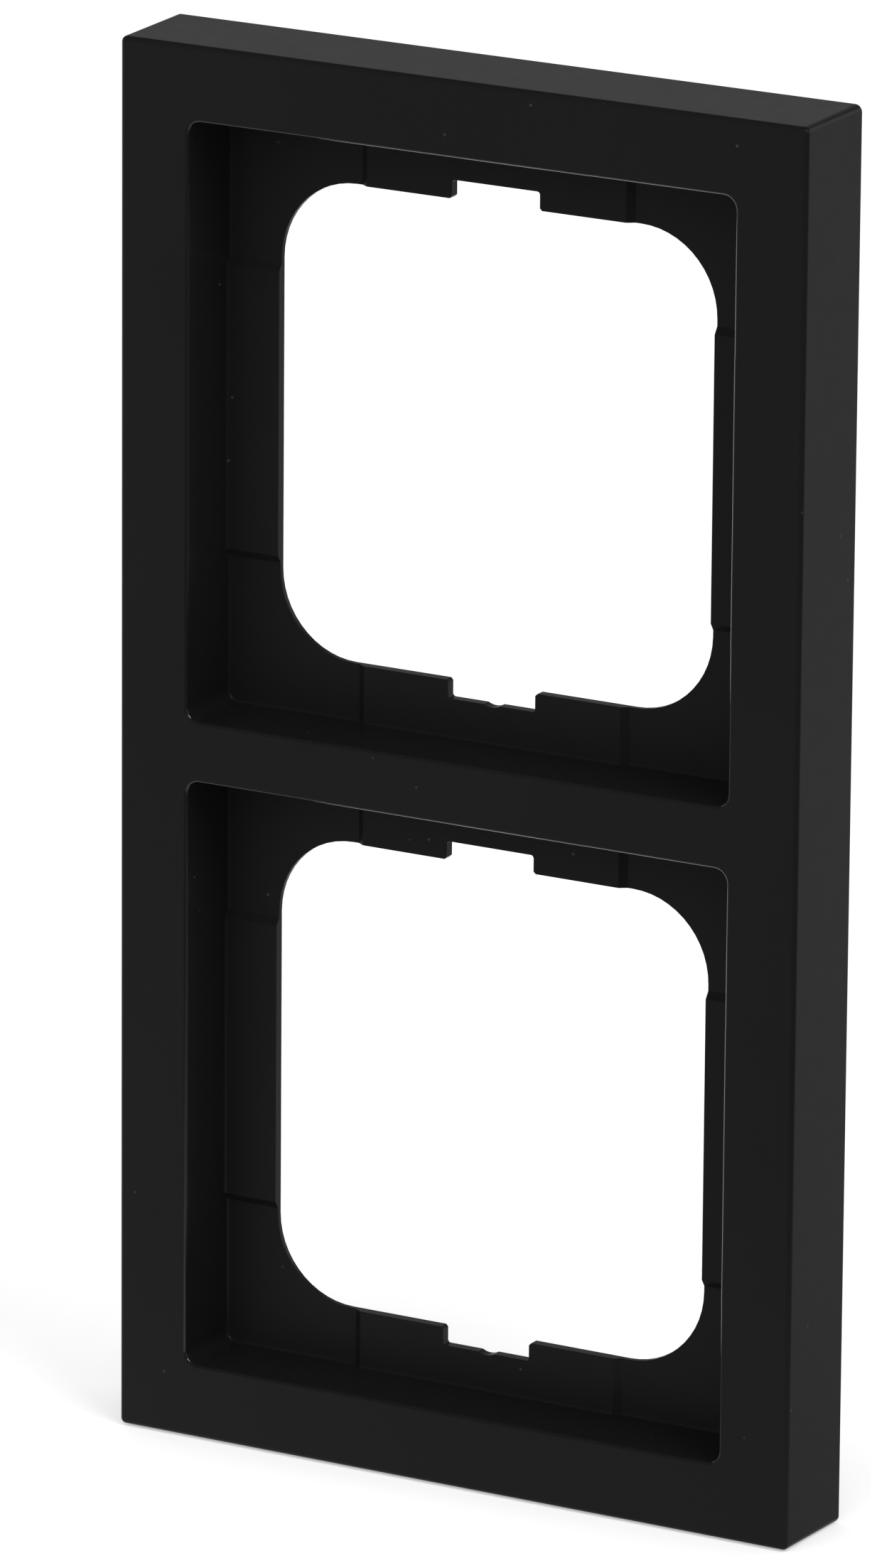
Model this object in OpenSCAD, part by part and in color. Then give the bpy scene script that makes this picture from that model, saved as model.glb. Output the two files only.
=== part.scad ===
// Two-gang cover frame for flush-mounted wall switches and sockets.
// It is one moulding: a drafted skirt that reaches the wall, a flat front, and for each gang a recess
// whose floor is a flange with four raised pads round a window. The back is hollow and ribbed.
// The frame is drawn lying on its back with the wall plane at z = 0, and then stood up, front to -Y.

/* [Gangs] */
// Distance between the centres of neighbouring inserts
gang_pitch = 71; // [69:0.5:90]
// Number of inserts, one above the other
gang_count = 2; // [1:1:5]

/* [Front] */
// Width of the recess mouth
recess_w = 64.4; // [62:0.1:67]
// Height of the recess mouth
recess_h = 64.4; // [62:0.1:66]
// Border between the recess mouth and the outer edge of the frame
border_w = 8.3; // [5:0.1:20]
// Depth of the frame from the wall to its front face
frame_d = 11.4; // [10:0.1:16]
// Draft of the outer skirt, in degrees
skirt_draft = 1; // [0.2:0.1:2]
// Corner radius of the outline at the front face
corner_r = 0.6; // [0.6:0.05:3]
// Radius of the edge round the front face
front_edge_r = 0.55; // [0.1:0.05:0.55]

/* [Recess] */
// Corner radius of the recess mouth
mouth_r = 1.5; // [1:0.1:4]
// Radius of the edge round the recess mouth
mouth_edge_r = 0.35; // [0.1:0.05:0.5]
// Draft of the recess walls, in degrees
recess_draft = 1.6; // [0.5:0.1:3]
// Fillet where the recess walls meet the floor
floor_fillet_r = 0.3; // [0.1:0.05:0.5]
// Depth of the pads below the front face
pad_depth = 7.9; // [6:0.1:8.5]
// Height of the pads above the corner webs
pad_h = 0.55; // [0.2:0.05:0.9]
// Length of a pad along its side of the window
pad_l = 30.6; // [16:0.1:32]
// Length of the slope at each end of a pad
pad_slope_l = 0.8; // [0.2:0.1:1.5]

/* [Window] */
// Width of the window through the flange
window_w = 51.5; // [44:0.1:56]
// Height of the window through the flange
window_h = 51.5; // [44:0.1:56]
// Corner radius of the window
window_r = 9; // [2:0.1:12]
// Width of the notch in the middle of the upper and lower pads
notch_w = 10.4; // [4:0.1:14]
// Depth of the notch
notch_d = 2; // [0.8:0.1:3]
// Corner radius inside the notch
notch_r = 0.35; // [0.1:0.05:0.8]
// Ease of the corners where the notch opens into the window
ease = 0.25; // [0.1:0.05:0.4]
// Width of the trimmed gate mark in the lower notch
gate_w = 1.9; // [0.6:0.1:2]
// Depth of the gate mark
gate_d = 0.25; // [0.1:0.05:0.5]

/* [Walls] */
// Thickness of the front
front_t = 1.8; // [1.2:0.1:2.5]
// Thickness of the outer skirt
skirt_t = 1.6; // [1:0.1:2.2]
// Corner radius of the hollow back, behind the front
hollow_r = 0.8; // [0.6:0.1:3]
// Fillet where the hollow back meets the front and the skirt
hollow_fillet_r = 0.4; // [0.1:0.05:0.5]
// Thickness of the recess walls at the mouth
recess_wall_t = 1.4; // [1:0.1:2]
// Thickness of the flange at its corner webs
web_t = 0.6; // [0.4:0.05:1.5]
// Thickness of a stiffening rib
rib_t = 1; // [0.6:0.1:1.5]
// Height of a stiffening rib behind the front
rib_h = 5; // [2:0.5:5.5]
// Distance between the two ribs on each side of a recess
rib_pitch = 40; // [20:1:50]

/* [Hidden] */
$fn = 96;

// How far a cut runs past the face that it opens, and a rib into the wall that it joins
over = 1;
// How much wider the recess is in its corners, so that its two depths share no wall
corner_relief = 0.02;

gang_stack = (gang_count - 1) * gang_pitch;
gangs_y = [for (i = [0 : gang_count - 1]) i * gang_pitch - gang_stack / 2];
frame_w = recess_w + 2 * border_w;
frame_h = recess_h + 2 * border_w + gang_stack;
hollow_d = frame_d - front_t;
web_depth = pad_depth + pad_h;
flange_depth = web_depth + web_t;
tub_w = recess_w + 2 * recess_wall_t;
tub_h = recess_h + 2 * recess_wall_t;
gate_r = (gate_w * gate_w / 4 + gate_d * gate_d) / (2 * gate_d);

// Rectangle with round corners, about the middle.
module round_rect(w, h, r) {
  square([w - 2 * r, h], center = true);
  square([w, h - 2 * r], center = true);
  for (x = [-1, 1], y = [-1, 1])
    translate([x * (w / 2 - r), y * (h / 2 - r)]) circle(r);
}

// Block with round corners and a shaped rim. Its children are the rim's cross-section:
// x runs outwards from the centres of the corners, y along the block's depth, from -lead to d.
module rimmed_block(w, h, r, d, lead = 0) {
  x = w / 2 - r;
  y = h / 2 - r;
  translate([-x, -y, -lead]) cube([2 * x, 2 * y, d + lead]);
  for (turn = [0, 180]) rotate(turn) {
    translate([x, y, 0]) rotate_extrude(angle = 90) children();
    translate([-x, y, 0]) rotate(90) rotate_extrude(angle = 90) children();
    translate([x, y, 0]) rotate([90, 0, 0]) linear_extrude(2 * y) children();
    translate([-x, y, 0]) rotate([90, 0, 90]) linear_extrude(2 * x) children();
  }
}

// Cross-section of a drafted rim, r wide at y = 0, with a round edge at its narrow end, y = d.
module drafted_rim(r, d, draft, edge_r) {
  edge_y = d - edge_r;
  edge_x = r - edge_y * tan(draft) - edge_r / cos(draft);
  tangent = [edge_x + edge_r * cos(draft), edge_y + edge_r * sin(draft)];
  polygon([[0, 0], [r, 0], tangent, [edge_x, edge_y], [edge_x, d], [0, d]]);
  intersection() {
    translate([edge_x, edge_y]) circle(edge_r);
    translate([edge_x, edge_y]) square(edge_r);
  }
}

// Straight run in front of a rim, so that a cut opens its face cleanly.
module lead_in(r) {
  translate([0, -over]) square([r, over]);
}

// Flare that rounds the edge of the recess mouth, tangent to the front and to the drafted wall.
module mouth_flare(r) {
  flare_r = r - mouth_edge_r * tan(recess_draft) + mouth_edge_r / cos(recess_draft);
  centre = [flare_r, mouth_edge_r];
  tangent = centre - mouth_edge_r * [cos(recess_draft), sin(recess_draft)];
  difference() {
    polygon([[0, 0], [flare_r, 0], centre, tangent, [0, tangent.y]]);
    translate(centre) circle(mouth_edge_r);
  }
  lead_in(flare_r);
}

// Outer skin of the frame, before it is hollowed.
module skin() {
  wall_r = corner_r + frame_d * tan(skirt_draft);
  rimmed_block(frame_w, frame_h, wall_r, frame_d)
    drafted_rim(wall_r, frame_d, skirt_draft, front_edge_r);
}

// Hollow back, open towards the wall.
module hollow() {
  wall_r = hollow_r + hollow_d * tan(skirt_draft);
  rimmed_block(frame_w - 2 * skirt_t, frame_h - 2 * skirt_t, wall_r, hollow_d, over) {
    drafted_rim(wall_r, hollow_d, skirt_draft, hollow_fillet_r);
    lead_in(wall_r);
  }
}

// Block that the recess is sunk into: its walls and the flange at its foot.
module tub() {
  translate([0, 0, frame_d - flange_depth])
    linear_extrude(flange_depth - front_t / 2) round_rect(tub_w, tub_h, mouth_r + recess_wall_t);
}

// Two bars across each recess and two along the frame. The recesses cut them into short ribs.
module ribs() {
  bar_w = frame_w - 2 * skirt_t + over;
  bar_h = frame_h - 2 * skirt_t + over;
  for (side = [-1, 1]) {
    for (y = gangs_y) rib([0, y + side * rib_pitch / 2], [bar_w, rib_t]);
    rib([side * rib_pitch / 2, 0], [rib_t, bar_h]);
  }
}

// One bar of ribbing, hung from the front.
module rib(place, size) {
  translate([place.x - size.x / 2, place.y - size.y / 2, hollow_d - rib_h])
    cube([size.x, size.y, rib_h + front_t / 2]);
}

// Recess down to a flat floor, wider than its nominal mouth by relief on every side.
module recess_to(depth, relief = 0) {
  r = mouth_r + relief;
  translate([0, 0, frame_d]) mirror([0, 0, 1])
    rimmed_block(recess_w + 2 * relief, recess_h + 2 * relief, r, depth, over) {
      drafted_rim(r, depth, recess_draft, floor_fillet_r);
      mouth_flare(r);
    }
}

// Strip across the recess, s long, that keeps the height of the pads. Its ends slope to the webs.
module pad_strip(s) {
  top = pad_l / 2;
  foot = top + pad_slope_l;
  deep = web_depth + over;
  outline = [[-top, -2 * over], [top, -2 * over], [top, pad_depth], [foot, web_depth], [foot, deep],
             [-foot, deep], [-foot, web_depth], [-top, pad_depth]];
  translate([0, 0, frame_d]) rotate([-90, 0, 0])
    linear_extrude(s, center = true) polygon(outline);
}

// Recess with its floor in two heights: pads along the sides and webs in the corners.
module recess() {
  recess_to(pad_depth);
  difference() {
    recess_to(web_depth, corner_relief);
    pad_strip(recess_h + 2 * over);
    rotate(90) pad_strip(recess_w + 2 * over);
  }
}

// Cut that eases the flange's corner at the mouth of a notch. The flange lies towards out.
module notch_ease(out) {
  polygon(ease * [-out, [2 * out.x, -out.y], [-out.x, 2 * out.y]]);
}

// Window through the flange, with its two notches and the gate mark.
module window() {
  translate([0, 0, frame_d - flange_depth - over])
    linear_extrude(flange_depth - pad_depth + 2 * over) {
      round_rect(window_w, window_h, window_r);
      round_rect(notch_w, window_h + 2 * notch_d, notch_r);
      for (x = [-1, 1], y = [-1, 1])
        translate([x * notch_w / 2, y * window_h / 2]) notch_ease([x, y]);
      translate([0, gate_r - gate_d - window_h / 2 - notch_d]) circle(gate_r);
    }
}

module cover_frame() {
  color("#1d1d1f") rotate([90, 0, 0]) difference() {
    union() {
      difference() {
        skin();
        hollow();
      }
      ribs();
      for (y = gangs_y) translate([0, y, 0]) tub();
    }
    for (y = gangs_y) translate([0, y, 0]) {
      recess();
      window();
    }
  }
}

cover_frame();
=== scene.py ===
"""A matt black two-gang cover frame on a white ground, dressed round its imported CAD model."""

import math

import bpy
from mathutils import Matrix, Vector


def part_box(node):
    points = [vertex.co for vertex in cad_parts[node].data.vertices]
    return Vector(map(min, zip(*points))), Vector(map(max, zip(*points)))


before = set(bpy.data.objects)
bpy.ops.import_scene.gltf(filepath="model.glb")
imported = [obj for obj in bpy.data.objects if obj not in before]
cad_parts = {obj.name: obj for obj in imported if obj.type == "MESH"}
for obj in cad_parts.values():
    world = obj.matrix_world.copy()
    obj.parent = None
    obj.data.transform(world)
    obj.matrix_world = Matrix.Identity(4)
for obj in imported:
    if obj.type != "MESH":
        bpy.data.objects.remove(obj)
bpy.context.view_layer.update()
scene = bpy.context.scene

WHITE = (1.0, 1.0, 1.0, 1.0)

# Camera, solved from the corners of the outline and of both recesses, with angles in degrees
CAMERA_AZIMUTH = 29.462
CAMERA_ELEVATION = 16.085
CAMERA_ROLL = -0.430
CAMERA_DISTANCE = 1.3667
CAMERA_TARGET = Vector((-0.008517, 0.0, -0.002903))
CAMERA_LENS = 299.51
CAMERA_SENSOR = 36.0
CAMERA_CLIP = (0.05, 40.0)

# White ground at the foot of the frame. Its glow is for the camera alone, and leaves the shadow.
FLOOR_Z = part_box("cover_frame")[0].z
FLOOR_HALF = 6.0
FLOOR_COLOUR = (0.8, 0.8, 0.8, 1.0)
FLOOR_GLOW = 0.38

# Light from all sides, and two soft lamps that face the frame
WORLD_LIGHT = 0.6
KEY_LAMP = dict(azimuth=3.0, elevation=25.0, distance=2.2, side=2.4, power=25.0, mirrored=False)
RIGHT_LAMP = dict(azimuth=66.0, elevation=46.0, distance=1.6, side=0.7, power=8.0, mirrored=True)

# What mirrored rays meet: a low white backdrop behind the frame, a dark room in front of it and
# overhead, and a ground that darkens towards SWEEP_BEARING. The pairs say where each change runs.
DARK_LEVEL = 0.03
BACKDROP_Y = (-0.3, 0.2)
BACKDROP_Z = (0.45, 0.35)
SWEEP_BEARING = 45.0
SWEEP_REACH = (-0.03, 0.135)
SWEEP_LEVEL = 0.88

# Colour of the plastic, from the dark to the light end of its mottling, and of dust
BASE_LOW = (0.0080, 0.0080, 0.0082, 1.0)
BASE_HIGH = (0.0088, 0.0088, 0.0090, 1.0)
MOTTLE_SCALE = 40.0
MOTTLE_DETAIL = 3.0
DUST = (0.04, 0.04, 0.04, 1.0)
DUST_SCALE = 210.0
DUST_SPECK = (0.042, 0.019)

# Gloss of the faces, the rounded edges, the recess walls and the polished edges of the mouths
SPECULAR = 0.13
ROUGH_FACE = (0.49, 0.51)
ROUGH_SCALE = 600.0
ROUGH_EDGE = 0.3
ROUGH_WALL = 0.2
ROUGH_MOUTH = 0.12
POLISH_ROUGH = 0.1
POLISH_IOR = 1.5

# Relief: the moulded grain, and the eased edges of the flange and the back
GRAIN_SCALE = 8000.0
GRAIN_STRENGTH = 0.2
GRAIN_DEPTH = 0.00002
EASE_RADIUS = 0.00012
EASE_SAMPLES = 4

# The range that most of a noise's values lie in
NOISE_RANGE = (0.3, 0.7)

# Where the finishes change, in the frame's own metres or as parts of a unit normal
EDGE_LEAN = (0.995, 0.93)
MOUTH_LEAN = (0.93, 0.85)
WALL_LEAN = (0.9, 0.3)
FRONT_Y = (-0.0108, -0.0112)
INSIDE_X = (0.0385, 0.0375)
INSIDE_Z = (0.0740, 0.0730)
GANG_Z = 0.0355
WALL_REACH = (0.029, 0.030)
EASED_Y = (-0.0060, -0.0055)


def direction(azimuth, elevation):
    """Unit vector from the frame to a bearing in degrees: 0 is in front of it, 90 to its right."""
    a, e = math.radians(azimuth), math.radians(elevation)
    return Vector((math.sin(a) * math.cos(e), -math.cos(a) * math.cos(e), math.sin(e)))


def add_camera():
    data = bpy.data.cameras.new("camera")
    data.lens = CAMERA_LENS
    data.sensor_width = CAMERA_SENSOR
    data.clip_start, data.clip_end = CAMERA_CLIP
    camera = bpy.data.objects.new("camera", data)
    back = direction(CAMERA_AZIMUTH, CAMERA_ELEVATION)
    turn = (-back).to_track_quat("-Z", "Y").to_matrix()
    roll = Matrix.Rotation(math.radians(-CAMERA_ROLL), 3, "Z")
    camera.matrix_world = Matrix.LocRotScale(
        CAMERA_TARGET + back * CAMERA_DISTANCE, (turn @ roll).to_quaternion(), None)
    scene.collection.objects.link(camera)
    scene.camera = camera


class Nodes:
    """The node tree of a material or a world, written in short calls."""

    def __init__(self, owner):
        owner.use_nodes = True
        self.tree = owner.node_tree
        self.tree.nodes.clear()

    def add(self, kind, inputs=None, **settings):
        """Adds a node and returns its outputs. An input is a value or another node's output."""
        node = self.tree.nodes.new(kind)
        for name, value in settings.items():
            setattr(node, name, value)
        for name, value in (inputs or {}).items():
            if isinstance(value, bpy.types.NodeSocket):
                self.tree.links.new(value, node.inputs[name])
            else:
                node.inputs[name].default_value = value
        return node.outputs

    def math(self, operation, a, b=0.0):
        return self.add("ShaderNodeMath", {0: a, 1: b}, operation=operation)[0]

    def size(self, value):
        return self.math("ABSOLUTE", value)

    def most(self, a, b):
        return self.math("MAXIMUM", a, b)

    def both(self, *masks):
        """Mask of where all the masks hold."""
        whole = masks[0]
        for mask in masks[1:]:
            whole = self.math("MULTIPLY", whole, mask)
        return whole

    def ramp(self, value, ends, levels=(0.0, 1.0)):
        """Runs from the first level to the second as the value runs between the ends."""
        return self.add("ShaderNodeMapRange", {
            "Value": value,
            "From Min": ends[0],
            "From Max": ends[1],
            "To Min": levels[0],
            "To Max": levels[1],
        })["Result"]

    def mix(self, factor, a, b, data_type="FLOAT"):
        inputs = {"Factor": factor, "A": a, "B": b}
        return self.add("ShaderNodeMix", inputs, data_type=data_type)["Result"]

    def noise(self, place, scale, detail=2.0):
        inputs = {"Vector": place, "Scale": scale, "Detail": detail}
        return self.add("ShaderNodeTexNoise", inputs)["Fac"]

    def split(self, vector):
        return self.add("ShaderNodeSeparateXYZ", {"Vector": vector})

    def rays(self):
        """Masks of the camera's rays, and of those that a shiny or clear surface sends on."""
        path = self.add("ShaderNodeLightPath")
        return path["Is Camera Ray"], self.most(path["Is Glossy Ray"], path["Is Transmission Ray"])


def black_plastic():
    """Matt black moulding with grain, faint mottling and dust, smoother at its edges and walls."""
    material = bpy.data.materials.new("black_plastic")
    n = Nodes(material)
    place = n.add("ShaderNodeTexCoord")["Object"]
    normal = n.add("ShaderNodeNewGeometry")["Normal"]
    at = n.split(place)
    lean = n.split(n.add("ShaderNodeVectorMath", {0: normal}, operation="ABSOLUTE")["Vector"])

    # Flat faces lie along the axes, so a normal that leans away from all of them marks an edge.
    edge = n.ramp(n.most(n.most(lean["X"], lean["Y"]), lean["Z"]), EDGE_LEAN)
    front = n.ramp(at["Y"], FRONT_Y)

    # The edge of a mouth is polished where it has turned well away from the front.
    aside, along = n.size(at["X"]), n.size(at["Z"])
    inside = n.both(n.ramp(aside, INSIDE_X), n.ramp(along, INSIDE_Z))
    mouth = n.both(edge, front, inside, n.ramp(lean["Y"], MOUTH_LEAN))

    # Walls face sideways behind the front, farther from the gang's centre than the window's edge.
    reach = n.most(aside, n.size(n.math("SUBTRACT", along, GANG_Z)))
    wall = n.both(inside, n.math("SUBTRACT", 1.0, front), n.ramp(reach, WALL_REACH),
                  n.ramp(lean["Y"], WALL_LEAN))

    mottle = n.ramp(n.noise(place, MOTTLE_SCALE, MOTTLE_DETAIL), NOISE_RANGE)
    grit = n.add("ShaderNodeTexVoronoi", {"Vector": place, "Scale": DUST_SCALE})["Distance"]
    colour = n.mix(mottle, BASE_LOW, BASE_HIGH, "RGBA")
    colour = n.mix(n.ramp(grit, DUST_SPECK), colour, DUST, "RGBA")

    roughness = n.ramp(n.noise(place, ROUGH_SCALE), NOISE_RANGE, ROUGH_FACE)
    roughness = n.mix(edge, roughness, ROUGH_EDGE)
    roughness = n.mix(wall, roughness, ROUGH_WALL)
    roughness = n.mix(mouth, roughness, ROUGH_MOUTH)

    eased = n.add("ShaderNodeBevel", {"Radius": EASE_RADIUS}, samples=EASE_SAMPLES)["Normal"]
    bump = n.add("ShaderNodeBump", {
        "Height": n.noise(place, GRAIN_SCALE),
        "Strength": GRAIN_STRENGTH,
        "Distance": GRAIN_DEPTH,
        "Normal": n.mix(n.ramp(at["Y"], EASED_Y), normal, eased, "VECTOR"),
    })["Normal"]
    shader = n.add("ShaderNodeBsdfPrincipled", {
        "Base Color": colour,
        "Roughness": roughness,
        "Specular IOR Level": SPECULAR,
        "Coat Weight": mouth,
        "Coat Roughness": POLISH_ROUGH,
        "Coat IOR": POLISH_IOR,
        "Normal": bump,
    })["BSDF"]
    n.add("ShaderNodeOutputMaterial", {"Surface": shader}, is_active_output=True)
    return material


def floor_white():
    """Matt white for light, white for the camera, and the sweep from white to dark for gloss."""
    material = bpy.data.materials.new("floor_white")
    n = Nodes(material)
    camera, mirrored = n.rays()
    matt = n.add("ShaderNodeBsdfDiffuse", {"Color": FLOOR_COLOUR})[0]
    glow = n.add("ShaderNodeEmission", {
        "Color": WHITE, "Strength": n.math("MULTIPLY", camera, FLOOR_GLOW)})[0]
    seen = n.add("ShaderNodeAddShader", {0: matt, 1: glow})[0]
    reach = n.add("ShaderNodeVectorMath", {
        0: n.add("ShaderNodeNewGeometry")["Position"],
        1: direction(SWEEP_BEARING, 0.0),
    }, operation="DOT_PRODUCT")["Value"]
    sweep = n.add("ShaderNodeEmission", {
        "Color": WHITE, "Strength": n.ramp(reach, SWEEP_REACH, (SWEEP_LEVEL, DARK_LEVEL))})[0]
    surface = n.add("ShaderNodeMixShader", {0: mirrored, 1: seen, 2: sweep})[0]
    n.add("ShaderNodeOutputMaterial", {"Surface": surface})
    return material


def add_floor():
    r = FLOOR_HALF
    mesh = bpy.data.meshes.new("floor")
    mesh.from_pydata([(-r, -r, 0), (r, -r, 0), (r, r, 0), (-r, r, 0)], [], [(0, 1, 2, 3)])
    mesh.materials.append(floor_white())
    floor = bpy.data.objects.new("floor", mesh)
    floor.location.z = FLOOR_Z
    scene.collection.objects.link(floor)


def add_world():
    """White for the camera, even light for the scene, and the backdrop and dark room for gloss."""
    world = bpy.data.worlds.new("studio")
    scene.world = world
    n = Nodes(world)
    camera, mirrored = n.rays()
    towards = n.split(n.add("ShaderNodeTexCoord")["Generated"])
    backdrop = n.both(n.ramp(towards["Y"], BACKDROP_Y), n.ramp(towards["Z"], BACKDROP_Z))
    room = n.ramp(backdrop, (0.0, 1.0), (DARK_LEVEL, 1.0))
    level = n.most(n.mix(mirrored, WORLD_LIGHT, room), camera)
    light = n.add("ShaderNodeBackground", {"Color": WHITE, "Strength": level})[0]
    n.add("ShaderNodeOutputWorld", {"Surface": light})


def add_softbox(name, azimuth, elevation, distance, side, power, mirrored):
    """Square lamp that faces the frame. Gloss shows it only if it is mirrored."""
    data = bpy.data.lights.new(name, "AREA")
    data.shape = "SQUARE"
    data.size = side
    data.energy = power
    lamp = bpy.data.objects.new(name, data)
    back = direction(azimuth, elevation)
    lamp.location = back * distance
    lamp.rotation_mode = "QUATERNION"
    lamp.rotation_quaternion = (-back).to_track_quat("-Z", "Y")
    lamp.visible_glossy = mirrored
    scene.collection.objects.link(lamp)


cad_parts["cover_frame"].material_slots[0].material = black_plastic()
add_camera()
add_floor()
add_world()
add_softbox("key", **KEY_LAMP)
add_softbox("right", **RIGHT_LAMP)
scene.view_settings.view_transform = "Standard"
